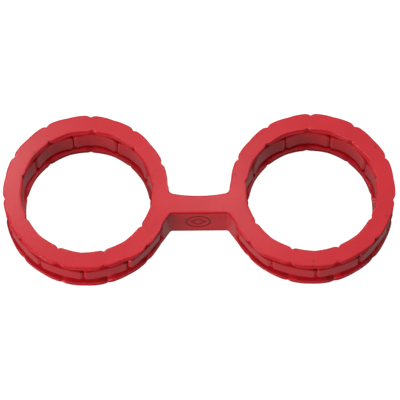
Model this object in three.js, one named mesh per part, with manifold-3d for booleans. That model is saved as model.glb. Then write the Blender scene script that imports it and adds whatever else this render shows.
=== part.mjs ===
// Double ring tug grip: two equal rubber rings lying flat, joined by a short bridge, moulded in one piece.
//
// Millimetres, +Z up, +X from the left ring to the right one. The origin is on the resting face, midway
// between the rings' centres. The rings' walls are moulded as three courses of bricks, and each course is a
// node here. The rubber bridge is what bends and twists, so it is cut at its two flexing places: an arc seam
// about the vertical bending axis, and a flat seam across the lengthwise twisting axis.
import * as THREE from 'three';
import { mergeVertices } from 'three/addons/utils/BufferGeometryUtils.js';
import Module from 'manifold-3d';

const wasm = await Module();
wasm.setup();

// ---- Driving dimensions -----------------------------------------------------------------------------

const ringSpacing = 164.8; // between the two rings' centres
const rimRadius = 60.4; // outside of the top and bottom courses
const boreRadius = { top: 47.6, middle: 46.9, bottom: 46.1 }; // the bore's draft, course by course
const boreShift = 0.6; // of the bore's centre towards the bridge: the far wall takes the pull
const height = 35.6;

const flangeHeight = 5.5; // thickness of the top course and of the bottom course
const grooveWidth = { outside: 5.6, inside: 3.8 }; // between a flange and the middle course's raised pads
const grooveDepth = { outside: 2.6, inside: 1.8 }; // from the rim to the groove's floor
const padRecess = { outside: 1.3, inside: 0.8 }; // how far the pads stand back from the flanges' rims
const jointDepth = 1; // of the upright joints between two pads
const jointWidth = 2.6;
const jointBevel = 0.8; // the pads' slanted ends beside a joint

const outerBricks = 11;
const innerBricks = 9;
const firstNotch = 88; // degrees on the left ring, mirrored on the right one
const outerNotch = { depth: 1.9, halfWidth: 5.5 };
const innerNotch = { depth: 1.4, halfWidth: 3.6 };

const bridgeFront = -17.6; // y of the bridge's flat front face
const bridgeBack = -4.2; // y of the back face at its middle
const backBowRadius = 100; // the back face is slightly hollow
const flankAngle = 35; // degrees round the ring at which the bridge's straight front flank leaves it
const frontFillet = 2.5; // between the front face and a flank
const backFillet = 4; // between the back face and a ring
const bridgeSpan = { from: -26, to: 10 }; // degrees of the left ring's outside that the bridge covers
const seatSpan = { from: -25.5, to: 4 }; // y of the ring's wall that is solid behind the bridge, without grooves
const seatDepth = 6; // of that solid part of the wall

const bendAxisX = -10; // the upright axis that the bridge bends about
const bendSeamRadius = 9; // of the arc seam about that axis
const twistSeamX = 10; // of the flat seam that the bridge twists across

const gap = 0.3; // between two nodes
const arcSteps = 7; // facets between two notches or joints
const ringFacets = 144; // of the cylinders that cut the bridge to the rings

const bridgeAxisY = (bridgeFront + bridgeBack) / 2;
const ringX = ringSpacing / 2;
const rubber = { roughness: 0.55, metalness: 0 };

// ---- Solids -----------------------------------------------------------------------------------------

function toSolid(geometry) {
  const bare = geometry.clone();
  bare.deleteAttribute('normal');
  bare.deleteAttribute('uv');
  const merged = mergeVertices(bare, 1e-4);
  const mesh = new wasm.Mesh({
    numProp: 3,
    vertProperties: Float32Array.from(merged.attributes.position.array),
    triVerts: Uint32Array.from(merged.index.array),
  });
  return new wasm.Manifold(mesh);
}

function toGeometry(solid) {
  const mesh = solid.getMesh();
  const geometry = new THREE.BufferGeometry();
  geometry.setAttribute('position', new THREE.BufferAttribute(mesh.vertProperties, 3));
  geometry.setIndex(new THREE.BufferAttribute(mesh.triVerts, 1));
  geometry.computeVertexNormals();
  return geometry;
}

// A flat outline with an optional hole, raised from one height to another.
function raise(outline, hole, bottom, top) {
  const shape = new THREE.Shape(outline);
  if (hole) {
    shape.holes.push(new THREE.Path(hole));
  }
  const geometry = new THREE.ExtrudeGeometry(shape, { depth: top - bottom, bevelEnabled: false });
  geometry.translate(0, 0, bottom);
  return toSolid(geometry);
}

function disc(x, y, radius, bottom, top) {
  const circle = new THREE.EllipseCurve(x, y, radius, radius).getPoints(ringFacets).slice(0, -1);
  return raise(circle, null, bottom, top);
}

// An upright bar, taller than the object.
function bar(fromX, toX, fromY, toY) {
  const box = new THREE.BoxGeometry(toX - fromX, toY - fromY, height * 2);
  box.translate((fromX + toX) / 2, (fromY + toY) / 2, height / 2);
  return toSolid(box);
}

// ---- Ring outlines ----------------------------------------------------------------------------------

// Points of a closed outline with a mark, such as a notch or a joint, at even steps round a circle. A mark's
// profile lists how far each of its points is from its middle, in degrees, and how deep it is there.
function markedOutline({ radius, marks, phase, profile, inward, keepOut, shift = 0 }) {
  const pitch = 360 / marks;
  const points = [];
  const edge = profile[profile.length - 1].angle;
  const place = (degrees, depth) => {
    const angle = THREE.MathUtils.degToRad(degrees);
    const r = radius - inward * depth;
    points.push(new THREE.Vector2(shift + r * Math.cos(angle), r * Math.sin(angle)));
  };
  for (let mark = 0; mark < marks; mark += 1) {
    const middle = phase + mark * pitch;
    const plain = keepOut && insideSpan(middle, keepOut);
    for (const step of [...profile].reverse()) {
      if (step.angle > 0) {
        place(middle - step.angle, plain ? 0 : step.depth);
      }
    }
    for (const step of profile) {
      place(middle + step.angle, plain ? 0 : step.depth);
    }
    for (let facet = 1; facet < arcSteps; facet += 1) {
      place(middle + edge + ((pitch - 2 * edge) * facet) / arcSteps, 0);
    }
  }
  return points;
}

function insideSpan(degrees, span) {
  const turned = ((degrees + 180) % 360 + 360) % 360 - 180;
  return turned > span.from && turned < span.to;
}

// A notch is a cusp whose shoulders run out smoothly into the rim.
function notchProfile({ depth, halfWidth }) {
  return [0, 0.3, 0.6, 1].map((share) => ({
    angle: share * halfWidth,
    depth: depth * (1 - share) ** 2,
  }));
}

// A joint has a flat floor and slanted sides.
function jointProfile(radius) {
  const degreesPerMm = 180 / (Math.PI * radius);
  return [
    { angle: 0, depth: jointDepth },
    { angle: (jointWidth / 2 - jointBevel / 2) * degreesPerMm, depth: jointDepth },
    { angle: (jointWidth / 2 + jointBevel / 2) * degreesPerMm, depth: 0 },
  ];
}

function flangeOutlines(bore) {
  return {
    outside: markedOutline({
      radius: rimRadius,
      marks: outerBricks,
      phase: firstNotch,
      profile: notchProfile(outerNotch),
      inward: 1,
      keepOut: bridgeSpan,
    }),
    inside: markedOutline({
      radius: bore,
      marks: innerBricks,
      phase: firstNotch,
      profile: notchProfile(innerNotch),
      inward: -1,
      shift: boreShift,
    }),
  };
}

function padOutlines() {
  return {
    outside: markedOutline({
      radius: rimRadius - padRecess.outside,
      marks: outerBricks,
      phase: firstNotch + 180 / outerBricks,
      profile: jointProfile(rimRadius),
      inward: 1,
      keepOut: bridgeSpan,
    }),
    inside: markedOutline({
      radius: boreRadius.middle + padRecess.inside,
      marks: innerBricks,
      phase: firstNotch + 180 / innerBricks,
      profile: jointProfile(boreRadius.middle),
      inward: -1,
      shift: boreShift,
    }),
  };
}

// ---- Rings ------------------------------------------------------------------------------------------

// One ring's three courses, centred on the origin, with the bridge on its +X side.
function ringCourses() {
  const upper = flangeOutlines(boreRadius.top);
  const lower = flangeOutlines(boreRadius.bottom);
  const pads = padOutlines();
  const coreBottom = flangeHeight + gap;
  const coreTop = height - flangeHeight - gap;
  const circle = (x, radius) => new THREE.EllipseCurve(x, 0, radius, radius).getPoints(72).slice(0, -1);
  const coreOutside = circle(0, rimRadius - grooveDepth.outside);
  const coreInside = circle(boreShift, boreRadius.middle + grooveDepth.inside);
  const core = raise(coreOutside, coreInside, coreBottom, coreTop);
  const midWall = circle(0, (rimRadius + boreRadius.middle) / 2);
  const padRing = (outline, hole, width) => raise(outline, hole, flangeHeight + width, height - flangeHeight - width);
  const outerPads = padRing(pads.outside, midWall, grooveWidth.outside);
  const innerPads = padRing(midWall, pads.inside, grooveWidth.inside);
  const rimWall = raise(circle(0, rimRadius), circle(0, rimRadius - seatDepth), coreBottom, coreTop);
  const seat = rimWall.intersect(bar(rimRadius / 2, rimRadius, seatSpan.from, seatSpan.to));
  return {
    top_course: raise(upper.outside, upper.inside, height - flangeHeight, height),
    middle_course: core.add(outerPads).add(innerPads).add(seat),
    bottom_course: raise(lower.outside, lower.inside, 0, flangeHeight),
  };
}

// ---- Bridge -----------------------------------------------------------------------------------------

// The upper one of the two places that are at one distance from a first centre and another from a second.
function meet(first, firstDistance, second, secondDistance) {
  const between = second.clone().sub(first);
  const d = between.length();
  const along = (firstDistance ** 2 - secondDistance ** 2 + d ** 2) / (2 * d);
  const aside = Math.sqrt(firstDistance ** 2 - along ** 2);
  const unit = between.clone().divideScalar(d);
  const foot = first.clone().addScaledVector(unit, along);
  const sideways = new THREE.Vector2(-unit.y, unit.x);
  const one = foot.clone().addScaledVector(sideways, aside);
  const other = foot.clone().addScaledVector(sideways, -aside);
  return one.x > other.x ? one : other;
}

function angleTo(centre, target) {
  return Math.atan2(target.y - centre.y, target.x - centre.x);
}

// The right half of the bridge's outline, from the front face's middle round to the back face's middle.
function rightHalfOutline() {
  const ring = new THREE.Vector2(ringX, 0);
  const mirroredRing = new THREE.Vector2(-ringX, 0);
  const lean = THREE.MathUtils.degToRad(flankAngle);
  const frontCentre = new THREE.Vector2(0, bridgeFront - frontFillet);
  const past = (rimRadius + frontFillet + frontCentre.y * Math.sin(lean)) / Math.cos(lean);
  frontCentre.x = ringX - past;
  const bowCentre = new THREE.Vector2(0, bridgeBack + backBowRadius);
  const leftBackCentre = meet(mirroredRing, rimRadius + backFillet, bowCentre, backBowRadius - backFillet);
  const backCentre = new THREE.Vector2(-leftBackCentre.x, leftBackCentre.y);
  const path = new THREE.Path();
  path.moveTo(0, bridgeFront);
  path.absarc(frontCentre.x, frontCentre.y, frontFillet, Math.PI / 2, lean, true);
  path.lineTo(ringX - rimRadius * Math.cos(lean), -rimRadius * Math.sin(lean));
  path.lineTo(ringX - rimRadius + 2 * seatDepth, -rimRadius / 4);
  const backStart = angleTo(backCentre, ring);
  const backEnd = angleTo(bowCentre, backCentre);
  path.absarc(backCentre.x, backCentre.y, backFillet, backStart, backEnd, true);
  path.absarc(0, bowCentre.y, backBowRadius, backEnd, -Math.PI / 2, true);
  return path.getPoints(8);
}

function bridgeSolid() {
  const right = rightHalfOutline();
  const left = right.slice(1, -1).reverse().map((point) => new THREE.Vector2(-point.x, point.y));
  let solid = raise([...right, ...left], null, 0, height);
  for (const side of [-1, 1]) {
    solid = solid.subtract(disc(side * ringX, 0, rimRadius + gap, -1, height + 1));
  }
  return solid;
}

function slab(fromX, toX) {
  return bar(fromX, toX, -rimRadius, rimRadius);
}

// The bridge cut at its arc seam and its flat seam.
function bridgeParts() {
  const whole = bridgeSolid();
  const leftEnd = -ringX;
  const rightEnd = ringX;
  const noseLimit = slab(leftEnd, bendAxisX);
  const nose = disc(bendAxisX, bridgeAxisY, bendSeamRadius, -1, height + 1);
  const socket = disc(bendAxisX, bridgeAxisY, bendSeamRadius + gap, -1, height + 1);
  return {
    bridge_left_root: whole.intersect(noseLimit.add(nose)),
    bridge_waist: whole.intersect(slab(bendAxisX, twistSeamX)).subtract(socket),
    bridge_right_root: whole.intersect(slab(twistSeamX + gap, rightEnd)),
  };
}

// ---- Assembly ---------------------------------------------------------------------------------------

function rubberMesh(name, solid, colour) {
  const material = new THREE.MeshStandardMaterial({ color: colour, ...rubber });
  const mesh = new THREE.Mesh(toGeometry(solid), material);
  mesh.name = name;
  return mesh;
}

function ringGroup(side, mirrored) {
  const group = new THREE.Group();
  for (const [name, solid] of Object.entries(ringCourses())) {
    const turned = mirrored ? solid.mirror([1, 0, 0]) : solid;
    group.add(rubberMesh(`${side}_${name}`, turned, 0xc8383c));
  }
  group.position.x = mirrored ? ringX : -ringX;
  return group;
}

const doubleRing = new THREE.Group();
doubleRing.add(ringGroup('left', false), ringGroup('right', true));
for (const [name, solid] of Object.entries(bridgeParts())) {
  doubleRing.add(rubberMesh(name, solid, 0xc23438));
}

export default doubleRing;
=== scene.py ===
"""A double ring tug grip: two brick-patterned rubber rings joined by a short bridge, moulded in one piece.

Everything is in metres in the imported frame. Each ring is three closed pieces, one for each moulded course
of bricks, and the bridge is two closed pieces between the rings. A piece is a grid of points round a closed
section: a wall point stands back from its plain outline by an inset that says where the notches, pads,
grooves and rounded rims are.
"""

import math

import bmesh
import bpy
import numpy as np
from mathutils import Matrix, Vector


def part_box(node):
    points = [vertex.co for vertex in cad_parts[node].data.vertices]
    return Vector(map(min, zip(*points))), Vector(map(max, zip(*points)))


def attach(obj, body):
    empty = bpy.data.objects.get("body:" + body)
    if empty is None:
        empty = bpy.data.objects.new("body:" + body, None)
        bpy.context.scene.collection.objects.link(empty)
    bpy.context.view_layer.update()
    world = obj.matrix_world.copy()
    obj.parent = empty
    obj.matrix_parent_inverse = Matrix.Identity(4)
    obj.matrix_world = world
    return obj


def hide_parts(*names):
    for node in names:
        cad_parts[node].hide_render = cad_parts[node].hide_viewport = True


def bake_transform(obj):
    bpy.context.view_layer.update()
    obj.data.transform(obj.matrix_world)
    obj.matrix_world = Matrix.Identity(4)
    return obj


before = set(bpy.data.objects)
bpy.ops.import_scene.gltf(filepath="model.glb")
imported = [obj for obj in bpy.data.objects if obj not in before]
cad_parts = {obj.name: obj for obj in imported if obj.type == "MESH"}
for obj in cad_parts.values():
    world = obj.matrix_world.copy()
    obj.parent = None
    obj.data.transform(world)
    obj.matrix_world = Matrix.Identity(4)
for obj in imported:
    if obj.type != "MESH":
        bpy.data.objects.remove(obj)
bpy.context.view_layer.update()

MM = 0.001

# ---- Sizes read from the frame -----------------------------------------------------------------------

ring_low, ring_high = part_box("left_top_course")
flange_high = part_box("left_bottom_course")[1]
waist_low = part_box("bridge_waist")[0]

HEIGHT = ring_high.z
RIM_R = (ring_high.x - ring_low.x) / 2
RING_X = -(ring_high.x + ring_low.x) / 2
FRONT_Y = waist_low.y
FLANGE = flange_high.z

# ---- Sizes of the moulding ---------------------------------------------------------------------------

BORE_TOP = 47.4 * MM
BORE_BOTTOM = 45.6 * MM
BORE_SHIFT = 0.6 * MM
RIM_ROUND = 0.55 * MM
BACK_Y = -4.2 * MM
BACK_BOW_R = 100 * MM
BACK_FILLET = 4 * MM
FRONT_FILLET = 2.5 * MM
FLANK = math.radians(35)
FLANK_TRIM = math.radians(0.4)
BULGE_TOP = 2.2 * MM
BULGE_BOTTOM = 0.3 * MM

OUTER_BRICKS = 11
INNER_BRICKS = 9
FIRST_NOTCH = math.radians(88)

SEAM_DROP = FLANGE + 1.4 * MM
PAD_CORNER = 3.4 * MM
PAD_BEVEL = 0.4 * MM
PAD_FALL = 1.6 * PAD_BEVEL
JOINT_HALF = 2.1 * MM
HOLLOW = 0.3 * MM
LIP = 0.12 * MM
LIP_RISE = 0.45 * MM
LIP_HALF = 0.35 * MM
UNDER_RISE = 0.2 * MM
UNDER_FALL = 0.45 * MM
EDGE_RISE = 2.4 * MM
EDGE_POWER = 1.5
STEP = 0.9 * MM
STEP_TOP = 0.7 * MM
STEP_OPENING = 0.5 * MM
STEP_FOOT = 2.1 * MM
LEDGE = 0.3 * MM
LOBE_POWER = 2.4
POCKET_SPREAD = 1.3

OUTSIDE = {
    "bricks": OUTER_BRICKS, "width": 5.6 * MM, "groove": 4.4 * MM, "recess": 1.1 * MM, "flat": 0.35,
    "joint": 1.5 * MM, "lobe": 0.6 * MM, "notch": 1.5 * MM, "notch_half": math.radians(4.2),
    "pocket": 0.6 * MM, "pocket_half": math.radians(6),
}
INSIDE = {
    "bricks": INNER_BRICKS, "width": 3.8 * MM, "groove": 3.6 * MM, "recess": 0.8 * MM, "flat": 0.7,
    "joint": 1.5 * MM, "lobe": 0.5 * MM, "notch": 1.5 * MM, "notch_half": math.radians(4.2),
    "pocket": 0.6 * MM, "pocket_half": math.radians(5.5),
}

# The top face's notches are cut deep and the bottom face's shallow.
NOTCH_SHARE = {"top_course": 1, "middle_course": 0, "bottom_course": 0.45}

# The mould's plates are turned a little against each other: degrees for the outside, then for the bore.
TURNED = {
    "left": {"top_course": (-1.2, -2.7), "middle_course": (0, -5), "bottom_course": (0.5, 0)},
    "right": {"top_course": (2, 0), "middle_course": (0, 0), "bottom_course": (3.5, 0)},
}

# Where the outside's bricks and the fullness beside the flank fade in: a start and a width for each.
BRICKS_BACK_FADE = math.radians(4)
BRICKS_FRONT = (math.radians(23.5), math.radians(4))
BULGE_FAR = (math.radians(66), math.radians(14))
BULGE_NEAR = (math.radians(22), math.radians(9))

COLUMNS = 900
FINE_STEPS = 20001
MARK_CROWDING = 2.2
END_CROWDING = 2.0
END_WIDTH = 0.05
FACE_SHARES = 9
FACE_ROWS = 19
RIM_ROWS = 8
FLANGE_ROWS = 19
LIP_ROWS = 12
PAD_MIDDLE_ROWS = 5
PAD_CORNER_ROWS = 30
SHARP_ANGLE = math.radians(60)


# ---- Small curve helpers ------------------------------------------------------------------------------

def smooth(value):
    held = np.clip(value, 0, 1)
    return held * held * (3 - 2 * held)


def from_mark(angle, first, count):
    """How far each angle is from the nearest of a ring's evenly spaced marks."""
    pitch = 2 * math.pi / count
    return (angle - first + pitch / 2) % pitch - pitch / 2


def arc(centre, radius, start, end, count):
    turn = np.linspace(start, end, count)
    return np.stack([centre[0] + radius * np.cos(turn), centre[1] + radius * np.sin(turn)], 1)


def circle_meet(first, first_r, second, second_r):
    """The two places at one distance from a first centre and another distance from a second."""
    between = second - first
    d = np.linalg.norm(between)
    along = (first_r**2 - second_r**2 + d**2) / (2 * d)
    aside = math.sqrt(first_r**2 - along**2)
    unit = between / d
    foot = first + unit * along
    sideways = np.array([-unit[1], unit[0]])
    return foot + sideways * aside, foot - sideways * aside


# ---- The bridge's outline, on the left side -----------------------------------------------------------

LEFT_RING = np.array([-RING_X, 0.0])
flank_along = np.array([math.sin(FLANK), math.cos(FLANK)])
front_y = FRONT_Y - FRONT_FILLET
front_centre = np.array([
    -RING_X + (RIM_R + FRONT_FILLET + front_y * math.sin(FLANK)) / math.cos(FLANK),
    front_y,
])
bow_centre = np.array([0.0, BACK_Y + BACK_BOW_R])
back_centre = max(
    circle_meet(LEFT_RING, RIM_R + BACK_FILLET, bow_centre, BACK_BOW_R - BACK_FILLET),
    key=lambda place: -place[1],
)
flank_length = float(flank_along @ (front_centre - LEFT_RING))
FLANK_TURN = math.atan2(flank_length, RIM_R) - FLANK_TRIM
FRONT_ANGLE = FLANK_TURN - FLANK
BACK_ANGLE = math.atan2(back_centre[1], back_centre[0] + RING_X)
FRONT_SLANT = 1 / math.cos(FLANK_TURN)


# ---- Insets: how far a wall stands back from its plain outline ----------------------------------------

def rim_inset(drop):
    """The quarter round at a rim, for a drop below the face."""
    held = np.clip(drop / RIM_ROUND, 0, 1)
    return RIM_ROUND * (1 - np.sqrt(1 - (1 - held) ** 2))


def plain_inset(drop):
    """A wall without bricks: the rounded rim, then a small step back that ends on a ledge."""
    opening = smooth((drop - STEP_TOP) / STEP_OPENING)
    ledge = smooth((drop - STEP_FOOT) / LEDGE)
    return rim_inset(drop) + STEP * opening * (1 - ledge)


def notch_inset(off, drop, wall, share):
    """A flange's bricks: each a shallow lobe, with a cusp between two that opens into a pocket below."""
    half_pitch = math.pi / wall["bricks"]
    deeper = smooth((drop - RIM_ROUND) / (FLANGE - RIM_ROUND))
    lobe = wall["lobe"] * (np.abs(off) / half_pitch) ** LOBE_POWER
    cusp = wall["notch"] * np.clip(1 - np.abs(off) / wall["notch_half"], 0, 1) ** 2
    pocket = wall["pocket"] * deeper * smooth(POCKET_SPREAD * (1 - np.abs(off) / wall["pocket_half"]))
    return (lobe + cusp) * share + pocket


def flange_inset(drop, off, wall, share):
    """A flange's wall: a rim and its step, a hollow band, a thin lip of flash, then the groove below it."""
    near_notch = np.clip(1 - np.abs(off) / wall["pocket_half"], 0, 1)
    edge = FLANGE - EDGE_RISE * near_notch ** EDGE_POWER
    across = np.clip((drop - STEP_FOOT) / (edge - STEP_FOOT), 0, 1)
    hollow = HOLLOW * np.sin(math.pi * across)
    lip = LIP * np.exp(-(((drop - edge + LIP_RISE) / LIP_HALF) ** 2))
    under = smooth((drop - edge + UNDER_RISE) / UNDER_FALL)
    face = plain_inset(drop) + hollow - lip + notch_inset(off, drop, wall, share)
    return face * (1 - under) + wall["groove"] * under


def pad_inset(height, off, radius, wall):
    """The middle course's wall: round-cornered pads in a groove, with a shallow valley between two."""
    half_pitch = math.pi / wall["bricks"]
    half_long = half_pitch * radius
    half_tall = HEIGHT / 2 - FLANGE - wall["width"]
    along = np.abs(off) * radius
    up = np.abs(height - HEIGHT / 2)
    qx = along - half_long + PAD_CORNER
    qy = up - half_tall + PAD_CORNER
    outside = np.hypot(np.clip(qx, 0, None), np.clip(qy, 0, None))
    distance = outside + np.minimum(np.maximum(qx, qy), 0) - PAD_CORNER
    raised = 1 - smooth((distance + PAD_BEVEL) / PAD_FALL)
    chord = radius * (1 - math.cos(half_pitch)) * (0.5 - (along / half_long) ** 2)
    valley = wall["joint"] * np.clip(1 - (half_long - along) / JOINT_HALF, 0, 1)
    face = wall["recess"] + wall["flat"] * chord + valley
    return face * raised + wall["groove"] * (1 - raised)


# ---- Ring courses --------------------------------------------------------------------------------------

def seam_radius(share):
    """Radius of the line where ring and bridge meet in the rubber, from front corner to back corner."""
    return (RIM_R - RIM_ROUND) * (FRONT_SLANT + (1 - FRONT_SLANT) * share)


class Columns:
    """Angles round the left ring, closer together at the marks, and what each one means for the walls."""

    def __init__(self, turned, notch_share):
        self.notch_share = notch_share
        self.outer_first = FIRST_NOTCH + math.radians(turned[0])
        self.inner_first = FIRST_NOTCH + math.radians(turned[1])
        self.angles, self.behind = self.spread()
        before_flank = self.angles - 2 * math.pi
        self.slant = 1 / np.cos(np.clip(before_flank + FLANK, 0, FLANK_TURN))
        self.bricks_shown = np.minimum(
            smooth((self.angles - BACK_ANGLE) / BRICKS_BACK_FADE),
            smooth((-before_flank - BRICKS_FRONT[0]) / BRICKS_FRONT[1]),
        )
        self.bulge = np.minimum(
            smooth((before_flank + BULGE_FAR[0]) / BULGE_FAR[1]),
            smooth((-before_flank - BULGE_NEAR[0]) / BULGE_NEAR[1]),
        )
        self.outer_off = from_mark(self.angles, self.outer_first, OUTER_BRICKS)
        self.inner_off = from_mark(self.angles, self.inner_first, INNER_BRICKS)

    def spread(self):
        start, end = BACK_ANGLE, FRONT_ANGLE + 2 * math.pi
        fine = np.linspace(start, end, FINE_STEPS)
        weight = np.ones_like(fine)
        marks = (
            (OUTER_BRICKS, self.outer_first, 0.07),
            (OUTER_BRICKS, self.outer_first + math.pi / OUTER_BRICKS, 0.035),
            (INNER_BRICKS, self.inner_first, 0.06),
            (INNER_BRICKS, self.inner_first + math.pi / INNER_BRICKS, 0.045),
        )
        for count, first, width in marks:
            weight += MARK_CROWDING * np.exp(-((from_mark(fine, first, count) / width) ** 2))
        for edge in (start, end):
            weight += END_CROWDING * np.exp(-(((fine - edge) / END_WIDTH) ** 2))
        total = np.concatenate([[0], np.cumsum((weight[1:] + weight[:-1]) / 2)])
        seen = np.interp(np.linspace(0, total[-1], COLUMNS), total, fine)
        hidden = np.linspace(end, start + 2 * math.pi, FACE_ROWS + 2)[1:-1]
        behind = np.concatenate([np.zeros(COLUMNS, bool), np.ones(len(hidden), bool)])
        return np.concatenate([seen, hidden]), behind

    def outer_radii(self, inset, heights):
        """Radii of the outside: straight along the flank, a little full beside it, then the seam's."""
        bulge = BULGE_BOTTOM + (BULGE_TOP - BULGE_BOTTOM) * heights[:, None] / HEIGHT
        radii = (RIM_R - inset) * self.slant + bulge * self.bulge
        hidden = int(self.behind.sum())
        radii[:, self.behind] = seam_radius(np.linspace(0, 1, hidden + 2)[1:-1])
        return radii

    def inner_radii(self, inset, heights):
        """Radii of the bore, which opens a little upwards."""
        return BORE_BOTTOM + (BORE_TOP - BORE_BOTTOM) * heights[:, None] / HEIGHT + inset

    def flange_walls(self, drops, heights):
        drop = drops[:, None]
        plain = plain_inset(drop)
        bricks = flange_inset(drop, self.outer_off, OUTSIDE, self.notch_share)
        outside = self.outer_radii(plain + (bricks - plain) * self.bricks_shown, heights)
        bore = flange_inset(drop, self.inner_off, INSIDE, self.notch_share)
        return outside, self.inner_radii(bore, heights)

    def pad_walls(self, heights):
        z = heights[:, None]
        pads = pad_inset(z, self.outer_off, RIM_R, OUTSIDE) * self.bricks_shown
        inside = self.inner_radii(pad_inset(z, self.inner_off, BORE_BOTTOM, INSIDE), heights)
        return self.outer_radii(pads, heights), inside


def flange_drops():
    """Drops below the face of the rows of a flange's wall, from the face to the seam in the groove."""
    rim = RIM_ROUND * (1 - np.cos(np.linspace(0, math.pi / 2, RIM_ROWS)))
    wall = np.linspace(RIM_ROUND, FLANGE - 1.0 * MM, FLANGE_ROWS)[1:]
    lip = FLANGE + np.linspace(-0.8, 0.3, LIP_ROWS) * MM
    return np.concatenate([rim, wall, lip, [SEAM_DROP]])


def pad_heights():
    """Heights of the middle course's rows, from one seam to the other."""
    low_corner = HEIGHT / 2 - FLANGE - OUTSIDE["width"]
    high_corner = HEIGHT / 2 - FLANGE - INSIDE["width"]
    half = np.concatenate([
        np.linspace(0, low_corner - PAD_CORNER, PAD_MIDDLE_ROWS)[:-1],
        np.linspace(low_corner - PAD_CORNER, high_corner + 0.5 * MM, PAD_CORNER_ROWS),
        [HEIGHT / 2 - SEAM_DROP],
    ])
    return HEIGHT / 2 + np.concatenate([-half[:0:-1], half])


def ring_piece(name, columns, walls, heights, side):
    """A closed ring: outer wall upwards, across the top, inner wall downwards, across the bottom."""
    outer, inner = walls
    turn = np.stack([np.cos(columns.angles), np.sin(columns.angles)], -1)
    outside = outer[..., None] * turn
    inside = inner[..., None] * turn + np.array([BORE_SHIFT, 0])
    share = np.linspace(0, 1, FACE_SHARES + 2)[1:-1, None, None]
    top = outside[-1] + (inside[-1] - outside[-1]) * share
    bottom = inside[0] + (outside[0] - inside[0]) * share
    flat = np.concatenate([outside, top, inside[::-1], bottom])
    high = np.full(FACE_SHARES, heights[-1])
    low = np.full(FACE_SHARES, heights[0])
    z = np.concatenate([heights, high, heights[::-1], low])
    x = side * (RING_X - flat[..., 0])
    points = np.stack([x, flat[..., 1], np.broadcast_to(z[:, None], x.shape)], -1)
    return grid_object(name, points, wrap_rows=True, wrap_columns=True, flip=side > 0)


def grid_object(name, points, wrap_rows, wrap_columns, flip):
    rows, columns = points.shape[:2]
    index = np.arange(rows * columns).reshape(rows, columns)
    down = np.roll(index, -1, 0) if wrap_rows else index[1:]
    here = index if wrap_rows else index[:-1]
    if not wrap_columns:
        here_left, here_right = here[:, :-1], here[:, 1:]
        down_left, down_right = down[:, :-1], down[:, 1:]
    else:
        here_left, here_right = here, np.roll(here, -1, 1)
        down_left, down_right = down, np.roll(down, -1, 1)
    order = [here_left, here_right, down_right, down_left]
    if flip:
        order.reverse()
    faces = np.stack(order, -1).reshape(-1, 4)
    mesh = bpy.data.meshes.new(name)
    mesh.from_pydata(points.reshape(-1, 3).tolist(), [], faces.tolist())
    mesh.shade_smooth()
    mesh.set_sharp_from_angle(angle=SHARP_ANGLE)
    piece = bpy.data.objects.new(name, mesh)
    bpy.context.scene.collection.objects.link(piece)
    return piece


def make_ring(side, word):
    """side is -1 for the left ring and 1 for the right one."""
    drops = flange_drops()
    rising = (HEIGHT - drops)[::-1]
    heights = pad_heights()
    pieces = {}
    for course, turned in TURNED[word].items():
        columns = Columns(turned, NOTCH_SHARE[course])
        if course == "top_course":
            rows, walls = rising, columns.flange_walls(drops[::-1], rising)
        elif course == "bottom_course":
            rows, walls = drops, columns.flange_walls(drops, drops)
        else:
            rows, walls = heights, columns.pad_walls(heights)
        pieces[course] = ring_piece(f"{word}_{course}_rubber", columns, walls, rows, side)
    return pieces


# ---- Bridge ---------------------------------------------------------------------------------------------

# The front edge and the back edge have the same number of points, 91 each.
FRONT_FILLET_COLUMNS = 15
STRAIGHT_COLUMNS = 75
BACK_FILLET_COLUMNS = 24
BOW_COLUMNS = 68
WELD_DISTANCE = 0.002 * MM

WALL_STEP = 0.3 * MM
MARK_DEPTH = 0.3 * MM
MARK_LINE = 1.4 * MM
MARK_LOZENGE = (5.2 * MM, 5.0 * MM)
MARK_RING = (8.8 * MM, 9.6 * MM)
MARK_CENTRE_X = -0.8 * MM
MARK_CENTRE_Z = HEIGHT / 2 + 0.5 * MM


def edge_points(inset, front):
    """Points of one edge of the bridge's left half, from the ring to the middle, set back by an inset."""
    if front:
        corner = arc_points(np.array([FRONT_ANGLE]), (RIM_R - inset) * FRONT_SLANT)
        fillet = arc(front_centre, FRONT_FILLET + inset, math.pi - FLANK, math.pi / 2, FRONT_FILLET_COLUMNS)
        fillet = np.concatenate([corner, fillet])
        straight_x = np.linspace(front_centre[0], 0, STRAIGHT_COLUMNS + 1)[1:]
        straight = np.stack([straight_x, np.full(STRAIGHT_COLUMNS, FRONT_Y + inset)], 1)
        return np.concatenate([fillet, straight])
    turn = BACK_ANGLE + math.pi
    meet = math.atan2(back_centre[1] - bow_centre[1], back_centre[0])
    fillet = arc(back_centre, BACK_FILLET + inset, turn, meet + 2 * math.pi, BACK_FILLET_COLUMNS)
    bow = arc(bow_centre, BACK_BOW_R + inset, meet, -math.pi / 2, BOW_COLUMNS)[1:]
    return np.concatenate([fillet, bow])


def mark_lines(x, z):
    """A plain round frame with one lozenge in it: 1 in the middle of a line and 0 beside it."""
    across, up = x - MARK_CENTRE_X, z - MARK_CENTRE_Z
    ring_x, ring_z = MARK_RING
    frame_away = np.abs(np.hypot(across / ring_x, up / ring_z) - 1) * ring_x
    half_x, half_z = MARK_LOZENGE
    lozenge = np.abs(np.abs(across) / half_x + np.abs(up) / half_z - 1)
    lozenge_away = lozenge * half_x * half_z / math.hypot(half_x, half_z)
    return 1 - smooth(np.minimum(frame_away, lozenge_away) / MARK_LINE)


def bridge_heights():
    rim = RIM_ROUND * (1 - np.cos(np.linspace(0, math.pi / 2, RIM_ROWS)))
    count = round((HEIGHT - 2 * RIM_ROUND) / WALL_STEP)
    wall = np.linspace(RIM_ROUND, HEIGHT - RIM_ROUND, count)[1:-1]
    return np.concatenate([rim, wall, HEIGHT - rim[::-1]])


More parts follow.
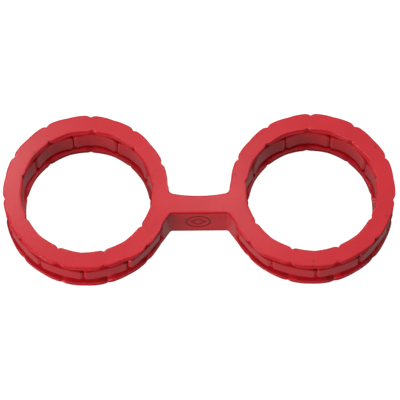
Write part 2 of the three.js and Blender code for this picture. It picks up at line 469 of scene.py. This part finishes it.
def bridge_wall(front, heights, side):
    """Rows of the front or back wall, with the rounded rims and, in front, the mark."""
    rim = plain_inset(np.minimum(heights, HEIGHT - heights))
    rows = np.stack([edge_points(inset, front) for inset in rim])
    if front:
        rows[..., 1] += MARK_DEPTH * mark_lines(-side * rows[..., 0], heights[:, None])
    return np.dstack([rows, np.broadcast_to(heights[:, None], rows.shape[:2])])


def bridge_face(front_edge, back_edge):
    """Rows across the top or bottom face, from the front edge to the back edge, curved with the ring."""
    share = np.linspace(0, 1, FACE_ROWS + 2)[1:-1]
    straight = front_edge + (back_edge - front_edge) * share[:, None, None]
    turn = FRONT_ANGLE + (BACK_ANGLE - FRONT_ANGLE) * share
    seam = arc_points(turn, seam_radius(share))
    fade = (1 - np.linspace(0, 1, front_edge.shape[0])) ** 2
    bulge = seam - straight[:, 0, :2]
    straight[..., :2] += bulge[:, None, :] * fade[None, :, None]
    return straight


def arc_points(turn, radius):
    return LEFT_RING + np.stack([radius * np.cos(turn), radius * np.sin(turn)], 1)


def bridge_caps(front, back, heights):
    """The two ends of the bridge's half: the curved one inside the ring's wall, and the flat middle one."""
    share = np.linspace(0, 1, FACE_ROWS + 2)
    turn = FRONT_ANGLE + (BACK_ANGLE - FRONT_ANGLE) * share
    seam = arc_points(turn, seam_radius(share))
    seam = np.broadcast_to(seam, (len(heights), len(share), 2)).copy()
    seam[:, 0] = front[:, 0, :2]
    seam[:, -1] = back[:, 0, :2]
    middle = front[:, -1:, :2] + (back[:, -1:, :2] - front[:, -1:, :2]) * share[None, :, None]
    z = np.broadcast_to(heights[:, None, None], (len(heights), len(share), 1))
    return np.concatenate([seam, z], -1), np.concatenate([middle, z], -1)


def make_bridge_half(name, side):
    heights = bridge_heights()
    front = bridge_wall(True, heights, side)
    back = bridge_wall(False, heights, side)
    top = bridge_face(front[-1], back[-1])
    bottom = bridge_face(front[0], back[0])[::-1]
    tube = np.concatenate([front, top, back[::-1], bottom])
    ring_cap, middle_cap = bridge_caps(front, back, heights)
    grids = (("tube", tube, True), ("ring", ring_cap, False), ("mid", middle_cap, False))
    parts = []
    for label, points, wraps in grids:
        placed = points * np.array([-side, 1, 1])
        parts.append(grid_object(f"{name}_{label}", placed, wraps, False, False))
    half = weld(name, parts)
    paint_mark_shade(half)
    return half


def paint_mark_shade(half):
    """Painted shade for the mark's engraved lines: a value on each point says how much the colour there is
    darkened.
    """
    flat = np.empty(3 * len(half.data.vertices), np.float32)
    half.data.vertices.foreach_get("co", flat)
    x, y, z = flat.reshape(-1, 3).T
    # painted shade: strongest in the middle of the mark's lines on the front face
    mark_shade = np.where(y < FRONT_Y + 2 * MARK_DEPTH, mark_lines(x, z), 0)
    half.data.attributes.new("mark_shade", "FLOAT", "POINT").data.foreach_set("value", mark_shade.astype(np.float32))


def weld(name, parts):
    """One closed mesh from grids that share their edges, with its faces turned outwards."""
    shape = bmesh.new()
    for part in parts:
        shape.from_mesh(part.data)
        bpy.data.objects.remove(part)
    bmesh.ops.remove_doubles(shape, verts=shape.verts, dist=WELD_DISTANCE)
    bmesh.ops.recalc_face_normals(shape, faces=shape.faces)
    mesh = bpy.data.meshes.new(name)
    shape.to_mesh(mesh)
    shape.free()
    mesh.shade_smooth()
    mesh.set_sharp_from_angle(angle=SHARP_ANGLE)
    piece = bpy.data.objects.new(name, mesh)
    bpy.context.scene.collection.objects.link(piece)
    return piece


# ---- Material -------------------------------------------------------------------------------------------

ROUGHNESS = 0.22
SPECULAR = 0.27
CLOUD_SCALE = 35
CLOUD_DARK = (0.57, 0.010, 0.020, 1)
CLOUD_LIGHT = (0.63, 0.014, 0.025, 1)
SPECK_SCALE = 70
SPECK_SIZE = 0.045
SPECK_COLOUR = (0.25, 0.012, 0.015, 1)
# painted shade for the mark's engraved lines, mixed into the base colour
MARK_SHADE_COLOUR = (0.26, 0.0, 0.002, 1)
GRAIN_SCALE = 1800
GRAIN_STRENGTH = 0.04
SCRATCH_STRETCH = (70, 1500, 1500)
SCRATCH_STRENGTH = 0.05
RELIEF = 0.2 * MM


def rubber_material():
    """Red rubber: clouded, with a few dark specks, painted shade in the mark's engraved lines, a fine grain
    and faint scratches along X.
    """
    material = bpy.data.materials.new("red_rubber")
    material.use_nodes = True
    nodes, links = material.node_tree.nodes, material.node_tree.links
    shader = nodes["Principled BSDF"]
    shader.inputs["Roughness"].default_value = ROUGHNESS
    shader.inputs["Specular IOR Level"].default_value = SPECULAR
    place = nodes.new("ShaderNodeTexCoord").outputs["Object"]

    def noise(scale, detail, vector):
        texture = nodes.new("ShaderNodeTexNoise")
        texture.inputs["Scale"].default_value = scale
        texture.inputs["Detail"].default_value = detail
        links.new(vector, texture.inputs["Vector"])
        return texture.outputs["Fac"]

    def ramp(value, low, low_colour, high, high_colour):
        node = nodes.new("ShaderNodeValToRGB")
        first, last = node.color_ramp.elements
        first.position, last.position = low, high
        first.color, last.color = low_colour, high_colour
        links.new(value, node.inputs["Fac"])
        return node.outputs["Color"]

    def blend(share, colour, other):
        node = nodes.new("ShaderNodeMixRGB")
        node.inputs["Color1"].default_value = colour
        links.new(share, node.inputs["Fac"])
        links.new(other, node.inputs["Color2"])
        return node.outputs["Color"]

    def bump(height, strength, before=None):
        node = nodes.new("ShaderNodeBump")
        node.inputs["Strength"].default_value = strength
        node.inputs["Distance"].default_value = RELIEF
        links.new(height, node.inputs["Height"])
        if before:
            links.new(before, node.inputs["Normal"])
        return node.outputs["Normal"]

    tint = ramp(noise(CLOUD_SCALE, 4, place), 0.3, CLOUD_DARK, 0.7, CLOUD_LIGHT)
    spots = nodes.new("ShaderNodeTexVoronoi")
    spots.inputs["Scale"].default_value = SPECK_SCALE
    links.new(place, spots.inputs["Vector"])
    clear = ramp(spots.outputs["Distance"], SPECK_SIZE, (0, 0, 0, 1), 1.5 * SPECK_SIZE, (1, 1, 1, 1))
    specked = blend(clear, SPECK_COLOUR, tint)
    # painted shade: the mark's engraved lines are darkened in the base colour
    mark_shade = nodes.new("ShaderNodeAttribute")
    mark_shade.attribute_name = "mark_shade"
    unshaded = ramp(mark_shade.outputs["Fac"], 0.1, (1, 1, 1, 1), 0.8, (0, 0, 0, 1))
    links.new(blend(unshaded, MARK_SHADE_COLOUR, specked), shader.inputs["Base Color"])

    stretch = nodes.new("ShaderNodeMapping")
    stretch.inputs["Scale"].default_value = SCRATCH_STRETCH
    links.new(place, stretch.inputs["Vector"])
    grained = bump(noise(GRAIN_SCALE, 3, place), GRAIN_STRENGTH)
    scratched = bump(noise(1, 3, stretch.outputs["Vector"]), SCRATCH_STRENGTH, grained)
    links.new(scratched, shader.inputs["Normal"])
    return material


# ---- Assembly -------------------------------------------------------------------------------------------

rubber = rubber_material()
for side, word in ((-1, "left"), (1, "right")):
    for course, piece in make_ring(side, word).items():
        piece.data.materials.append(rubber)
        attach(piece, f"{word}_ring")
        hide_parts(f"{word}_{course}")

left_half = make_bridge_half("bridge_left", -1)
right_half = make_bridge_half("bridge_right", 1)
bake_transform(left_half)
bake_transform(right_half)
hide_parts("bridge_left_root", "bridge_waist")
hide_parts("bridge_right_root")
for half in (left_half, right_half):
    half.data.materials.append(rubber)


# ---- Stage ----------------------------------------------------------------------------------------------

FLOOR_HALF = 1.5
FLOOR_DROP = 0.2 * MM
FLOOR_ALBEDO = 0.2
FLOOR_GLOW = 0.98
SKY = 0.25

# Each lamp's place, the point it faces, its disk's diameter and its power.
MIDDLE = (0, 0, 0)
LAMPS = {
    "key": ((-1.0, -1.0, 0.42), MIDDLE, 0.9, 14.5),
    "overhead": ((0, 0, 1.35), MIDDLE, 0.3, 6.5),
    "panel": ((0.18, 0.6, 1.0), MIDDLE, 1.1, 2.8),
    "sheen": ((-0.23, 0.44, 1.0), (-0.1, 0, 0), 0.06, 0.42),
    "glint": ((0.024, 0.392, 1.0), MIDDLE, 0.05, 0.2),
}

CAMERA_ELEVATION = math.radians(67.46)
CAMERA_ROLL = math.radians(0.48)
CAMERA_DISTANCE = 2.2163
CAMERA_TARGET = Vector((0.00058, 0.00704, 0))
CAMERA_SENSOR = 36
CAMERA_LENS = 270
CAMERA_REACH = 10


def make_floor():
    """A plain pale floor that shows only to the camera: it reflects no light on to the rubber."""
    half = FLOOR_HALF
    corners = [(-half, -half, 0), (half, -half, 0), (half, half, 0), (-half, half, 0)]
    mesh = bpy.data.meshes.new("floor")
    mesh.from_pydata(corners, [], [(0, 1, 2, 3)])
    floor = bpy.data.objects.new("floor", mesh)
    floor.location.z = -FLOOR_DROP
    floor.visible_diffuse = False
    floor.visible_glossy = False
    floor.visible_shadow = False
    bpy.context.scene.collection.objects.link(floor)
    material = bpy.data.materials.new("pale_floor")
    material.use_nodes = True
    shader = material.node_tree.nodes["Principled BSDF"]
    shader.inputs["Base Color"].default_value = (FLOOR_ALBEDO, FLOOR_ALBEDO, FLOOR_ALBEDO, 1)
    shader.inputs["Roughness"].default_value = 1
    shader.inputs["Specular IOR Level"].default_value = 0
    shader.inputs["Emission Color"].default_value = (1, 1, 1, 1)
    shader.inputs["Emission Strength"].default_value = FLOOR_GLOW
    mesh.materials.append(material)


def area_light(name, place, target, size, power):
    data = bpy.data.lights.new(name, "AREA")
    data.shape = "DISK"
    data.size = size
    data.energy = power
    light = bpy.data.objects.new(name, data)
    light.location = place
    light.rotation_euler = (Vector(target) - Vector(place)).to_track_quat("-Z", "Y").to_euler()
    bpy.context.scene.collection.objects.link(light)
    return light


def make_lights():
    """The lamps and a pale sky. The overhead lamp lights the tops without showing in their sheen."""
    for name, (place, target, size, power) in LAMPS.items():
        light = area_light(name, place, target, size, power)
        light.visible_glossy = name != "overhead"
    world = bpy.data.worlds.new("studio")
    bpy.context.scene.world = world
    world.use_nodes = True
    world.node_tree.nodes["Background"].inputs["Color"].default_value = (1, 1, 1, 1)
    world.node_tree.nodes["Background"].inputs["Strength"].default_value = SKY


def make_camera():
    """The camera looks down at the rings from in front, a little rolled."""
    back = Vector((0, -math.cos(CAMERA_ELEVATION), math.sin(CAMERA_ELEVATION)))
    right = Vector((1, 0, 0))
    up = back.cross(right)
    rolled_right = right * math.cos(CAMERA_ROLL) - up * math.sin(CAMERA_ROLL)
    rolled_up = right * math.sin(CAMERA_ROLL) + up * math.cos(CAMERA_ROLL)
    data = bpy.data.cameras.new("camera")
    data.sensor_width = CAMERA_SENSOR
    data.lens = CAMERA_LENS
    data.clip_end = CAMERA_REACH
    camera = bpy.data.objects.new("camera", data)
    turn = Matrix((rolled_right, rolled_up, back)).transposed()
    camera.matrix_world = Matrix.Translation(CAMERA_TARGET + back * CAMERA_DISTANCE) @ turn.to_4x4()
    bpy.context.scene.collection.objects.link(camera)
    bpy.context.scene.camera = camera


make_floor()
make_lights()
make_camera()
bpy.context.scene.view_settings.view_transform = "Standard"
